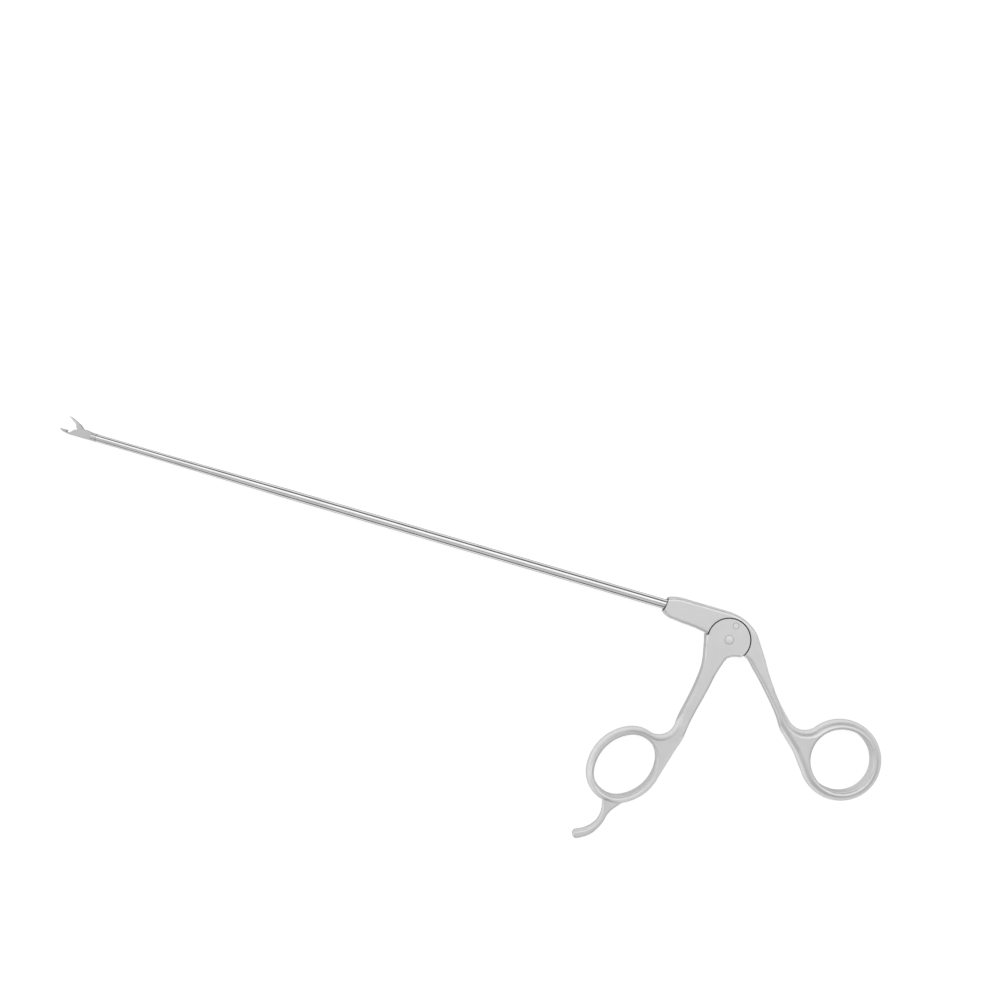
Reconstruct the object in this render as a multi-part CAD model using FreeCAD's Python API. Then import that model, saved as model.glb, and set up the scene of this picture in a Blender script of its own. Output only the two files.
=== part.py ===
import FreeCAD, Part
import math
import os

from FreeCAD import Vector

# Ring-handled suture grasper for keyhole surgery, lying on its side.
# Millimetres. The origin is on the handle pivot, at the face that the instrument rests on.
# +Z is up, the shaft runs along X with the jaws towards -X, and the rings hang towards -Y.

# Handle halves
HANDLE_T = 7.6            # thickness of the forged handle
EDGE_R = 1.35             # rounding along the edges of the body and the rear arm
ARM_EDGE_R = 1.0          # rounding along the edges of the front arm
RIM_R = 1.15              # rounding of the ring openings, up to the ridge of the ring
LAP_GAP = 0.3             # space between the two halves at the half lap
RUN_FIT = 0.03            # radial clearance of a pin that turns
BODY_CLEAR = 0.3          # clearance between curved faces that pass each other
BITE = 0.05               # how far the blend of an arm starts inside its ring
FADE_TURN = 10.0          # angle at which that blend runs out along the arm, degrees
FADE_L = 14.0

# Body in front of the pivot
SHAFT_Y = 6.34            # height of the shaft axis above the pivot
NOSE_X = -27.8            # where the shaft enters the body
NOSE_SLANT = 0.4          # how far the nose leans back from bottom to top, each way
BODY_RISE = 4.36          # from the shaft axis to the straight back of the body
BODY_DROP = 5.1           # from the shaft axis to the belly of the body, behind the nose
NOSE_HALF = 3.1           # half height of the nose face
MOUTH_R = 2.55            # relief round the shaft at the nose
MOUTH_DEPTH = 1.2

# Hub
HUB_R = 8.5               # round hub of the front handle
LAP_R = 8.9               # round lap of the rear handle under it
CROTCH_Y = -6.0           # height of the rear arm's root beside the hub
FLAT_REACH = 7.05         # from the pivot to the short flat of the hub between the two arms
FLAT_TURN = 16.3          # direction of the flat, degrees from +X
FLAT_END = 4.4            # along the flat, to its end at the rim of the hub

# Thumb ring, on the rear handle
THUMB_X, THUMB_Y = 57.2, -34.0
THUMB_R = 12.6            # radius of the opening
THUMB_WALL = 3.85         # from the opening to the outside
THUMB_NECK_R = 7.5        # hollow between the ring and the back of the arm
THUMB_NECK_TURN = 142.0   # where on the ring the hollow starts, degrees from +X
THUMB_HEEL_R = 10.0       # the same at the other side of the arm, after a straight stretch
THUMB_HEEL_TURN = 218.0
THUMB_HEEL_RUN = 9.7

# Finger ring, an oval of four arcs on the front handle
FINGER_X, FINGER_Y = -25.6, -60.2
FINGER_LONG = 13.75       # half axes of the opening
FINGER_SHORT = 10.9
FINGER_END_R = 9.5        # radius of the opening at the ends of its long axis
FINGER_TURN = 60.0        # direction of the long axis, degrees from +X
FINGER_WALL = 3.1
FINGER_NECK_R = 6.7
FINGER_NECK_TURN = 71.6
FINGER_HEEL_R = 30.0
FINGER_HEEL_TURN = -15.7
FINGER_HEEL_RUN = 14.0
SPUR_T = 4.6              # thickness of the finger spur below the ring
SPUR_EDGE_R = 1.05

# Pivot
PIVOT_R = 1.3
PIVOT_HEAD_R = 1.65
PIVOT_HEAD_T = 1.3
PIVOT_PROUD = 0.05
PIVOT_CROWN_R = 20.0      # radius of the slightly domed head
PIVOT_THREAD_R = 1.0
STOP_REACH = 6.0          # from the pivot to the stop pin, on the side of the shaft
STOP_R = 0.7
STOP_LOW, STOP_HIGH = 0.8, 5.3
NUT_R = 2.6
NUT_T = 1.8
WASHER_R = 3.5
WASHER_T = 0.25

# Drive pin, from the hub down into the rod head
PIN_REACH = 6.2           # from the pivot to the drive pin
PIN_LEAN = 9.9            # how far it starts behind the upright, degrees
PIN_HEAD_R = 1.1
PIN_R = 0.5
BUSH_R = 0.9
BUSH_DROP = 1.02          # how far the pin and its bush reach below the shaft axis

# Rod and its head
ROD_R = 0.75
HEAD_R = 1.55
HEAD_BORE_FIT = 0.05
HEAD_FRONT = -15.5        # front face of the rod head
HEAD_FLAT = -7.7          # where its flat tongue starts
HEAD_TAIL = 2.4           # from the drive pin to the end of the tongue
HEAD_GRIP = 4.0           # length of rod held in the head
LOCK_NUT_R = 1.4
LOCK_NUT_T = 1.6

# Outer tube
TUBE_R = 2.0
TUBE_BORE = 1.45
TIP_TUBE_R = 1.56
TIP_TUBE_BORE = 1.1
SOCKET_DEPTH = 9.0        # length of tube held in the body
FERRULE_R = 2.45          # sleeve brazed round the end of the tube
TAPER_START = -188.5
TAPER_END = -236.7
TUBE_TIP = -266.8
SET_SCREW_R = 1.25
SET_SCREW_BACK = 4.3      # from the nose to the set screw
SEAL_X = -20.2            # where the sealing ring sits on the rod
GUIDE_L = 4.0             # length of one rod guide bush
GUIDE_PLACES = (-26.0, -78.0, -130.0, -182.0)

# Jaws
HINGE_AHEAD = 5.9         # from the end of the tube to the hinge
HINGE_X = TUBE_TIP - HINGE_AHEAD
HINGE_DROP = 0.88         # hinge below the shaft axis
LINK_REACH = 1.75         # from the hinge to the link pin
JAW_SWING = 37.5          # travel of the upper jaw, degrees
JAW_HUB_R = 0.8
JAW_PIN_R = 0.42
LINK_PIN_R = 0.3
LINK_LOBE_R = 0.6
JAW_T = 1.5
SLOT_W = 1.7
CHEEK_T = 2.5             # across the flats of the lower jaw
SHANK_R = 1.2             # shank of the lower jaw, inside the tube
SHANK_L = 6.0
SLOT_BACK = 3.8           # from the hinge to the back of the slot
JAW_GAP = 0.05            # between the halves of the link

MID_Z = HANDLE_T / 2
LAP_LOW = MID_Z - LAP_GAP / 2
LAP_HIGH = MID_Z + LAP_GAP / 2
HINGE_Y = SHAFT_Y - HINGE_DROP
HALF_SWING = math.radians(JAW_SWING / 2)
ROD_TRAVEL = 2 * LINK_REACH * math.sin(HALF_SWING)
PIN_START = math.radians(PIN_LEAN)
PIN_X = PIN_REACH * math.sin(PIN_START)
PIN_Y = PIN_REACH * math.cos(PIN_START)
PIN_END = math.asin((PIN_X - ROD_TRAVEL) / PIN_REACH)
HANDLE_SWING = math.degrees(PIN_START - PIN_END)
UP = Vector(0, 0, 1)
AHEAD = Vector(1, 0, 0)


def at(x, y, z=0.0):
    return Vector(x, y, z)


def line(a, b):
    return Part.LineSegment(a, b).toShape()


def arc(a, middle, b):
    return Part.Arc(a, middle, b).toShape()


def bend(start, way, end):
    """Arc that leaves its first point along the direction, or a line where the three are in line."""
    chord = end - start
    normal = at(-way.y, way.x)
    lift = chord.dot(normal)
    if abs(lift) < 1e-6 * chord.Length:
        return line(start, end)
    centre = start + normal * (chord.Length ** 2 / (2 * lift))
    half = ((start + end) * 0.5 - centre).normalize()
    return arc(start, centre + half * (start - centre).Length, end)


def flow(points, start, end):
    """Smooth chain of tangent arcs through the points, leaving and arriving along the directions."""
    ways = [start]
    for before, here, after in zip(points, points[1:], points[2:]):
        back, ahead = here - before, after - here
        ways.append((back / back.Length * ahead.Length + ahead / ahead.Length * back.Length).normalize())
    ways.append(end)
    edges = []
    for a, b, leave, arrive in zip(points, points[1:], ways, ways[1:]):
        chord = b - a
        spread = 2 * (1 - leave.dot(arrive))
        along = chord.dot(leave + arrive)
        reach = chord.Length ** 2 / (2 * along)
        if spread > 1e-6:
            reach = (math.sqrt(along ** 2 + spread * chord.Length ** 2) - along) / spread
        joint = (a + leave * reach + b - arrive * reach) * 0.5
        edges.append(bend(a, leave, joint))
        edges.append(bend(b, arrive * -1, joint))
    return edges


def plate(edges, low, high):
    """Solid with the outline of the edges, between two heights."""
    wire = Part.Wire(Part.__sortEdges__(edges))
    wire.translate(at(0, 0, low))
    return Part.Face(wire).extrude(at(0, 0, high - low))


def polygon(points, low, high):
    corners = [at(x, y, low) for x, y in points]
    return Part.Face(Part.makePolygon(corners + corners[:1])).extrude(at(0, 0, high - low))


def disc(x, y, radius, low, high):
    return Part.makeCylinder(radius, high - low, at(x, y, low))


def shaft(radius, start, end, y=SHAFT_Y):
    return Part.makeCylinder(radius, end - start, at(start, y, MID_Z), AHEAD)


def lathe(profile):
    """Solid turned about the shaft axis from points of distance along X and radius."""
    points = [at(x, SHAFT_Y + r, MID_Z) for x, r in profile]
    face = Part.Face(Part.makePolygon(points + points[:1]))
    return face.revolve(at(0, SHAFT_Y, MID_Z), AHEAD, 360)


def side_edges(solid, inside, low, high):
    """Edges of the flat faces at two heights whose middle passes the test."""
    found = []
    for edge in solid.Edges:
        box = edge.BoundBox
        if box.ZLength < 1e-6 and min(abs(box.ZMin - low), abs(box.ZMin - high)) < 1e-6:
            middle = edge.valueAt((edge.FirstParameter + edge.LastParameter) / 2)
            if inside(at(middle.x, middle.y)):
                found.append(edge)
    return found


def rounded(edges, bare, low, high, radius):
    """Plate with rounded outline edges, except the bare ones."""
    solid = plate(edges + bare, low, high)
    middles = []
    for edge in bare:
        middle = edge.valueAt((edge.FirstParameter + edge.LastParameter) / 2)
        middles.append(at(middle.x, middle.y))

    def is_side(point):
        return all((point - middle).Length > 1e-3 for middle in middles)

    return solid.makeFillet(radius, side_edges(solid, is_side, low, high))


def beside(tip, rows):
    """Points beside the line from the pivot to the tip: share of its length, distance to its left."""
    length = tip.Length
    ahead = tip / length
    left = at(-ahead.y, ahead.x)
    return [tip * share + left * offset for share, offset in rows]


def heading(degrees):
    return at(math.cos(math.radians(degrees)), math.sin(math.radians(degrees)))


def turned(shape, degrees, centre):
    copy = shape.copy()
    copy.rotate(centre, UP, degrees)
    return copy


def barrel(ridge_top, side, ridge_low):
    """Bulging edge of a ring's section, from ridge to ridge round its outermost line."""
    return arc(ridge_top, side, ridge_low)


def ring_wall(centre, opening, wall, start=0.0, sweep=360.0):
    """Part of a ring: round rims at the opening, ridges above and below, and a barrelled outside."""
    ridge, cut = opening + RIM_R, RIM_R * (1 - math.sqrt(0.5))
    section = Part.Face(Part.Wire([
        line(at(opening, 0, RIM_R), at(opening, 0, HANDLE_T - RIM_R)),
        arc(at(opening, 0, HANDLE_T - RIM_R), at(opening + cut, 0, HANDLE_T - cut), at(ridge, 0, HANDLE_T)),
        barrel(at(ridge, 0, HANDLE_T), at(opening + wall, 0, MID_Z), at(ridge, 0, 0)),
        arc(at(ridge, 0, 0), at(opening + cut, 0, cut), at(opening, 0, RIM_R)),
    ]))
    section.rotate(at(0, 0), UP, start)
    section.translate(centre)
    return section.revolve(centre, UP, sweep)


def shed(root, out_turn, band, hollow_r, run, sweep, side):
    """What an arm loses where it blends into its ring, along a straight run and a hollow beyond it.

    The root is on the ring's outside, out_turn is the direction outwards there, band is the width
    of the barrelled edge, sweep is how far the hollow turns before it lies along the arm, and side
    is 1 or -1 for an arm that leaves to the left or the right.
    """
    out = heading(out_turn)
    back = at(-out.y, out.x) * side
    root = root - out * BITE
    rim, floor, roof = -band, -1.0, HANDLE_T + 1.0
    section = Part.Face(Part.Wire([
        line(at(hollow_r, 0, floor), at(rim, 0, floor)),
        line(at(rim, 0, floor), at(rim, 0, 0)),
        barrel(at(rim, 0, 0), at(0, 0, MID_Z), at(rim, 0, HANDLE_T)),
        line(at(rim, 0, HANDLE_T), at(rim, 0, roof)),
        line(at(rim, 0, roof), at(hollow_r, 0, roof)),
        line(at(hollow_r, 0, roof), at(hollow_r, 0, floor)),
    ]))
    section.rotate(at(0, 0), UP, out_turn)
    section.translate(root)
    first = section.copy()
    first.translate(back * run)
    centre, turn = root + out * hollow_r + back * run, -side * (sweep + FADE_TURN)
    fade_way = heading(out_turn + 90 * side + turn)
    fade = turned(first, turn, centre).extrude(fade_way * FADE_L)
    cutter = first.revolve(centre, UP, turn).fuse(fade)
    if run > 0:
        cutter = cutter.fuse(section.extrude(back * run))
    return cutter


def hollow_end(root, out_turn, hollow_r, turn):
    """Point of the hollow beside a ring in the given direction from the middle of the hollow."""
    return root + heading(out_turn) * (hollow_r - BITE) + heading(turn) * hollow_r


def hub_flat(along, inset=0.0):
    """Point on the flat of the hub, or inside it."""
    return heading(FLAT_TURN - 90) * (FLAT_REACH - inset) + heading(FLAT_TURN) * along


def finger_frame(along, across):
    """Point given along and across the long axis of the finger ring."""
    return at(FINGER_X, FINGER_Y) + heading(FINGER_TURN) * along + heading(FINGER_TURN + 90) * across


def finger_arcs():
    """The four arcs of the finger opening: centre, radius, first angle and sweep."""
    end_out = FINGER_LONG - FINGER_END_R
    side_r = (FINGER_SHORT ** 2 + end_out ** 2 - FINGER_END_R ** 2) / (2 * (FINGER_SHORT - FINGER_END_R))
    side_out = side_r - FINGER_SHORT
    half = math.degrees(math.atan2(side_out, end_out))
    ends = [(finger_frame(end_out, 0), 0.0), (finger_frame(-end_out, 0), 180.0)]
    sides = [(finger_frame(0, -side_out), 90.0), (finger_frame(0, side_out), 270.0)]
    arcs = [(centre, FINGER_END_R, FINGER_TURN + turn - half, 2 * half) for centre, turn in ends]
    arcs += [(centre, side_r, FINGER_TURN + turn - 90 + half, 180 - 2 * half) for centre, turn in sides]
    return arcs


def finger_root(turn):
    """Point of the finger ring's outside where the direction outwards is the given one."""
    for centre, radius, first, sweep in finger_arcs():
        if (turn - first) % 360 <= sweep:
            return centre + heading(turn) * (radius + FINGER_WALL)


def finger_oval(grow):
    """Solid that fills the finger opening, grown outwards."""
    edges = []
    for centre, radius, first, sweep in finger_arcs():
        r = radius + grow
        edges.append(arc(centre + heading(first) * r, centre + heading(first + sweep / 2) * r,
                         centre + heading(first + sweep) * r))
    return plate(edges, -1, HANDLE_T + 1)


def make_thumb_ring():
    return ring_wall(at(THUMB_X, THUMB_Y), THUMB_R, THUMB_WALL)


def make_finger_ring():
    quarters = [ring_wall(centre, radius, FINGER_WALL, first, sweep)
                for centre, radius, first, sweep in finger_arcs()]
    return quarters[0].fuse(quarters[1:]).removeSplitter()


def make_lap():
    """Round lap that carries the hub, trimmed straight between the two arms."""
    lap = disc(0, 0, LAP_R, 0, LAP_LOW)
    trim = [(0.9, -12), (2.2, CROTCH_Y - 0.6), (6.5, CROTCH_Y + 1.3), (12, CROTCH_Y + 1.3), (12, -12)]
    return lap.cut(polygon(trim, -1, HANDLE_T))


def make_body():
    """Body and rear arm: the arm runs on to the ridge of the thumb ring."""
    thumb = at(THUMB_X, THUMB_Y)
    outside = THUMB_R + THUMB_WALL
    back_y = SHAFT_Y + BODY_RISE
    belly_y = SHAFT_Y - BODY_DROP
    nose_top = at(NOSE_X + NOSE_SLANT, SHAFT_Y + NOSE_HALF)
    nose_low = at(NOSE_X - NOSE_SLANT, SHAFT_Y - NOSE_HALF)
    back_start, back_end = at(NOSE_X + 6.8, back_y), at(-7.0, back_y)
    neck = thumb + heading(THUMB_NECK_TURN) * outside
    heel = thumb + heading(THUMB_HEEL_TURN) * outside
    heel_way = heading(THUMB_HEEL_TURN + 90)

    arm_turn = 138.0
    right = [back_end, at(3.6, back_y - 1.0), at(8.5, 7.0)]
    right += beside(thumb, [(0.188, 6.96), (0.345, 1.67), (0.497, -2.35)])
    right += [hollow_end(neck, THUMB_NECK_TURN, THUMB_NECK_R, arm_turn + 90)]
    left = [heel, heel - heel_way * THUMB_HEEL_RUN]
    left += beside(thumb, [(0.674, -10.62), (0.524, -6.16), (0.390, -3.31), (0.265, -1.05)])
    crotch = at(6.2, CROTCH_Y + 0.8)
    left += [at(8.9, CROTCH_Y + 0.9), at(7.6, CROTCH_Y + 1.25), crotch]
    under_hub = [crotch, at(5.4, CROTCH_Y + 2.5), at(-8.0, 1.8), at(-8.6, -0.3)]
    belly = [under_hub[-1], at(-14.0, belly_y - 0.6), at(NOSE_X + 5.2, belly_y + 0.1),
             at(NOSE_X + 1.5, belly_y + 0.7), nose_low]

    sides = [bend(back_start, heading(180), nose_top), line(back_start, back_end)]
    sides += flow(right, heading(0), heading(arm_turn + 180))
    sides += [line(left[0], left[1])]
    sides += flow(left[1:], heel_way * -1, heading(205))
    sides += flow(belly, heading(165), heading(146))
    bare = [line(nose_low, nose_top), line(right[-1], neck), line(neck, thumb), line(thumb, heel)]
    bare += [line(a, b) for a, b in zip(under_hub, under_hub[1:])]
    body = rounded(sides, bare, 0, HANDLE_T, EDGE_R)
    band = THUMB_WALL - RIM_R
    body = body.cut(shed(neck, THUMB_NECK_TURN, band, THUMB_NECK_R, 0.0, THUMB_NECK_TURN + 90 - arm_turn, 1))
    body = body.cut(shed(heel, THUMB_HEEL_TURN, band, THUMB_HEEL_R, THUMB_HEEL_RUN, 0.0, -1))
    return body.cut(disc(THUMB_X, THUMB_Y, THUMB_R + RIM_R, -1, HANDLE_T + 1))


def make_rear_handle():
    body = make_body().fuse([make_lap(), make_thumb_ring()])

    # round recess for the hub, open downwards where the front arm passes
    recess_r = HUB_R + BODY_CLEAR
    recess = disc(0, 0, recess_r, LAP_LOW, HANDLE_T + 1)
    doorway = [(0, 0), (recess_r * 0.8, CROTCH_Y + 0.7), (recess_r * 0.8, -20), (-20, -20), (-20, -0.6)]
    recess = recess.fuse(polygon(doorway, LAP_LOW, HANDLE_T + 1))

    # socket for the tube, relief at its mouth, and the bore for the rod head
    holes = [
        recess,
        shaft(FERRULE_R, NOSE_X - 3, NOSE_X + SOCKET_DEPTH),
        shaft(MOUTH_R, NOSE_X - 3, NOSE_X + MOUTH_DEPTH),
        shaft(HEAD_R + HEAD_BORE_FIT, NOSE_X + SOCKET_DEPTH, PIN_X + HEAD_TAIL + 0.5),
        disc(NOSE_X + SET_SCREW_BACK, SHAFT_Y, SET_SCREW_R, -1, MID_Z),
        disc(0, 0, PIVOT_R + RUN_FIT, -1, HANDLE_T),
        disc(0, 0, NUT_R + RUN_FIT, -1, NUT_T),
        disc(-STOP_REACH, 0, STOP_R, STOP_LOW, HANDLE_T),
    ]
    for hole in holes:
        body = body.cut(hole)
    return body.removeSplitter()


def make_spur():
    """Curved rest for the next finger, with a wide root on the finger ring."""
    inner = [finger_frame(u, v) for u, v in
             [(-15.7, -2.8), (-18.6, -6.2), (-23.1, -8.25), (-28.1, -7.7), (-32.5, -5.2)]]
    outer = [finger_frame(u, v) for u, v in
             [(-34.25, -7.9), (-29.2, -10.4), (-23.0, -10.6), (-18.0, -9.4), (-12.9, -9.9), (-7.2, -11.7)]]
    across = outer[0] - inner[-1]
    tip_way = at(across.y, -across.x).normalize()
    tip = (inner[-1] + outer[0] + tip_way * across.Length) * 0.5
    sides = flow(inner, heading(FINGER_TURN - 118), tip_way)
    sides += [arc(inner[-1], tip, outer[0])]
    sides += flow(outer, tip_way * -1, heading(FINGER_TURN - 30))
    low = (HANDLE_T - SPUR_T) / 2
    centre = at(FINGER_X, FINGER_Y)
    spur = rounded(sides, [line(outer[-1], centre), line(centre, inner[0])], low, low + SPUR_T, SPUR_EDGE_R)
    return spur.cut(finger_oval(RIM_R))


def make_front_arm():
    """Arm from inside the hub to the ridge of the finger ring."""
    finger = at(FINGER_X, FINGER_Y)
    neck, heel = finger_root(FINGER_NECK_TURN), finger_root(FINGER_HEEL_TURN)
    heel_way = heading(FINGER_HEEL_TURN + 90)
    start = at(-HUB_R - 0.6, -0.6)
    left = [start] + beside(finger, [(0.123, -5.3), (0.221, -1.2), (0.341, 1.5), (0.446, 3.1), (0.530, 4.2)])
    right = [heel, heel + heel_way * FINGER_HEEL_RUN]
    right += beside(finger, [(0.489, 8.3), (0.343, 6.6), (0.178, 4.5), (0.137, 4.25), (0.103, 4.1)])
    right += [hub_flat(0.9), hub_flat(FLAT_END)]
    arm_turn = 84.0
    left += [hollow_end(neck, FINGER_NECK_TURN, FINGER_NECK_R, arm_turn - 90)]
    sides = flow(left, heading(-78), heading(arm_turn + 180))
    sides += [line(right[0], right[1])]
    sides += flow(right[1:], heel_way, heading(FLAT_TURN))
    inside_hub = [right[-1], hub_flat(FLAT_END, 0.6 * HUB_R), at(0, 0), start]
    neck_in, heel_in = neck - heading(FINGER_NECK_TURN) * FINGER_WALL, heel - heading(FINGER_HEEL_TURN) * FINGER_WALL
    inside_ring = [left[-1], neck, neck_in, finger, heel_in, heel]
    bare = [line(a, b) for a, b in zip(inside_hub, inside_hub[1:])]
    bare += [line(a, b) for a, b in zip(inside_ring, inside_ring[1:])]
    arm = rounded(sides, bare, 0, HANDLE_T, ARM_EDGE_R)
    band = FINGER_WALL - RIM_R
    arm = arm.cut(shed(neck, FINGER_NECK_TURN, band, FINGER_NECK_R, 0.0, arm_turn + 90 - FINGER_NECK_TURN, -1))
    arm = arm.cut(shed(heel, FINGER_HEEL_TURN, band, FINGER_HEEL_R, FINGER_HEEL_RUN, 0.0, 1))
    return arm.cut(finger_oval(RIM_R))


def make_hub():
    """Disc without the strip along the arm and the flat, which the rounded arm fills."""
    hub = disc(0, 0, HUB_R, LAP_HIGH, HANDLE_T)
    inset = ARM_EDGE_R + 0.2
    edge = [at(-2.0, -13), at(-1.0, -9.6), at(0.1, -7.0), hub_flat(0.6, inset), hub_flat(FLAT_END - 0.1, inset),
            hub_flat(FLAT_END - 0.1), hub_flat(HUB_R), at(12, -13)]
    return hub.cut(polygon([(v.x, v.y) for v in edge], 0, HANDLE_T))


def stop_slot():
    """Curved slot in the underside of the hub that lets the stop pin pass the handle's travel."""
    roof, slot_r = STOP_HIGH + 0.1, STOP_R + RUN_FIT
    play = math.degrees(RUN_FIT / STOP_REACH)
    places = [heading(180 + play) * STOP_REACH, heading(180 - HANDLE_SWING - play) * STOP_REACH]
    section = Part.Face(Part.makePolygon([at(-STOP_REACH - slot_r, 0, 0), at(-STOP_REACH + slot_r, 0, 0),
                                          at(-STOP_REACH + slot_r, 0, roof), at(-STOP_REACH - slot_r, 0, roof),
                                          at(-STOP_REACH - slot_r, 0, 0)]))
    section.rotate(at(0, 0), UP, play)
    curve = section.revolve(at(0, 0), UP, -HANDLE_SWING - 2 * play)
    return curve.fuse([disc(v.x, v.y, slot_r, 0, roof) for v in places])


def make_front_handle():
    handle = make_front_arm().fuse([make_hub(), make_finger_ring(), make_spur()])
    holes = [
        disc(0, 0, LAP_R + BODY_CLEAR, -1, LAP_HIGH),
        disc(0, 0, PIVOT_R + RUN_FIT, 0, HANDLE_T),
        disc(0, 0, PIVOT_HEAD_R + RUN_FIT, HANDLE_T - PIVOT_HEAD_T, HANDLE_T + 1),
        disc(PIN_X, PIN_Y, PIN_HEAD_R, 0, HANDLE_T + 1),
        stop_slot(),
    ]
    for hole in holes:
        handle = handle.cut(hole)
    return handle.removeSplitter()


def make_pivot_screw():
    head_low = HANDLE_T - PIVOT_HEAD_T + RUN_FIT
    crown = Part.makeSphere(PIVOT_CROWN_R, at(0, 0, HANDLE_T + PIVOT_PROUD - PIVOT_CROWN_R))
    head = disc(0, 0, PIVOT_HEAD_R, head_low, HANDLE_T + 1).common(crown)
    shoulder = disc(0, 0, PIVOT_R, NUT_T + RUN_FIT, head_low)
    thread = disc(0, 0, PIVOT_THREAD_R, 0.0, NUT_T + RUN_FIT)
    return head.fuse([shoulder, thread]).removeSplitter()


def make_pivot_nut():
    nut = disc(0, 0, NUT_R, 0.0, NUT_T)
    nut = nut.cut(disc(0, 0, PIVOT_THREAD_R, 0, NUT_T))
    for side in (-1, 1):
        nut = nut.cut(disc(side * (NUT_R + PIVOT_THREAD_R) / 2, 0, 0.4, 0, NUT_T / 2))
    return nut


def make_pivot_washer():
    ring = disc(0, 0, WASHER_R, LAP_LOW, LAP_LOW + WASHER_T)
    return ring.cut(disc(0, 0, PIVOT_R + RUN_FIT, LAP_LOW, LAP_HIGH))


def make_handle_stop_pin():
    return disc(-STOP_REACH, 0, STOP_R, STOP_LOW, STOP_HIGH)


def make_drive_pin():
    low = MID_Z - BUSH_DROP
    head = disc(PIN_X, PIN_Y, PIN_HEAD_R, LAP_HIGH, HANDLE_T)
    return head.fuse(disc(PIN_X, PIN_Y, PIN_R, low, LAP_HIGH))


def make_drive_bush():
    low, high = MID_Z - BUSH_DROP, LAP_LOW
    bush = disc(PIN_X, PIN_Y, BUSH_R, low, high)
    return bush.cut(disc(PIN_X, PIN_Y, PIN_R + RUN_FIT, low, high))


def make_rod_head():
    """Round head with a half-round tongue and a cross slot for the drive pin's bush."""
    end = PIN_X + HEAD_TAIL
    head = shaft(HEAD_R, HEAD_FRONT, end)
    flat = Part.makeBox(end - HEAD_FLAT + 1, 4 * HEAD_R, 2 * HEAD_R,
                        at(HEAD_FLAT, SHAFT_Y - 2 * HEAD_R, LAP_LOW - 0.05))
    head = head.cut(flat)
    head = head.cut(shaft(ROD_R, HEAD_FRONT, HEAD_FRONT + HEAD_GRIP))
    slot_r = BUSH_R + RUN_FIT
    rise = PIN_REACH - PIN_Y
    slot = disc(PIN_X, PIN_Y - RUN_FIT, slot_r, 0, HANDLE_T)
    slot = slot.fuse(disc(PIN_X, PIN_REACH + RUN_FIT, slot_r, 0, HANDLE_T))
    slot = slot.fuse(Part.makeBox(2 * slot_r, rise + 2 * RUN_FIT, HANDLE_T,
                                  at(PIN_X - slot_r, PIN_Y - RUN_FIT, 0)))
    return head.cut(slot)


def make_rod_lock_nut():
    start = HEAD_FRONT - LOCK_NUT_T
    nut = shaft(LOCK_NUT_R, start, HEAD_FRONT).cut(shaft(ROD_R, start, HEAD_FRONT))
    for side in (-1, 1):
        flat = Part.makeBox(LOCK_NUT_T, 4, 2, at(start, SHAFT_Y - 2, MID_Z - 1 + side * 2.15))
        nut = nut.cut(flat)
    return nut


def link_place(open_share):
    """Link pin relative to the hinge: 0 closed, 1 fully open."""
    a = HALF_SWING * (2 * open_share - 1)
    return at(LINK_REACH * math.sin(a), LINK_REACH * math.cos(a))


def make_actuating_rod():
    """Rod with a flat link at its tip that straddles half of the jaw's tail."""
    pin = link_place(1.0)
    low_y, high_y = link_place(1.0).y, LINK_REACH
    bar_low, bar_high = low_y - 0.55, high_y + LINK_LOBE_R
    neck, root, round_start = SLOT_BACK - 1.7, SLOT_BACK - 0.9, SLOT_BACK - 0.15
    axis = HINGE_DROP
    outline = [(pin.x, bar_low), (neck - 0.2, bar_low), (root, axis - ROD_R), (round_start, axis - ROD_R),
               (round_start, axis + ROD_R), (root, axis + ROD_R), (neck, bar_high), (pin.x, bar_high)]
    low, high = MID_Z, MID_Z + JAW_T / 2
    tongue = polygon([(HINGE_X + x, HINGE_Y + y) for x, y in outline], low, high)
    nose_r = (bar_high - bar_low) / 2
    tongue = tongue.fuse(disc(HINGE_X + pin.x, HINGE_Y + (bar_low + bar_high) / 2, nose_r, low, high))
    slot_r = LINK_PIN_R + RUN_FIT
    for y in (low_y - RUN_FIT, high_y + RUN_FIT):
        tongue = tongue.cut(disc(HINGE_X + pin.x, HINGE_Y + y, slot_r, low, high))
    tongue = tongue.cut(Part.makeBox(2 * slot_r, high_y - low_y, high - low,
                                     at(HINGE_X + pin.x - slot_r, HINGE_Y + low_y, low)))
    rod = shaft(ROD_R, HINGE_X + root, HEAD_FRONT + HEAD_GRIP)
    return rod.fuse(tongue).removeSplitter()


def make_outer_tube():
    end = NOSE_X + SOCKET_DEPTH
    shank_end = TUBE_TIP + SHANK_L
    tube = lathe([(TUBE_TIP, 0), (TUBE_TIP, TIP_TUBE_R), (TAPER_END, TIP_TUBE_R), (TAPER_START, TUBE_R),
                  (end, TUBE_R), (end, 0)])
    bore = lathe([(TUBE_TIP, 0), (TUBE_TIP, SHANK_R), (shank_end, SHANK_R), (shank_end, TIP_TUBE_BORE),
                  (TAPER_END, TIP_TUBE_BORE), (TAPER_START, TUBE_BORE), (end, TUBE_BORE), (end, 0)])
    return tube.cut(bore)


def make_tube_ferrule():
    start, end = NOSE_X + MOUTH_DEPTH, NOSE_X + SOCKET_DEPTH
    return shaft(FERRULE_R, start, end).cut(shaft(TUBE_R, start, end))


def make_rod_seal():
    """Round sealing ring between the rod and the bore of the tube, near the body."""
    cord_r = (TUBE_BORE - ROD_R - RUN_FIT) / 2
    return Part.makeTorus(TUBE_BORE - cord_r, cord_r, at(SEAL_X, SHAFT_Y, MID_Z), AHEAD)


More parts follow.
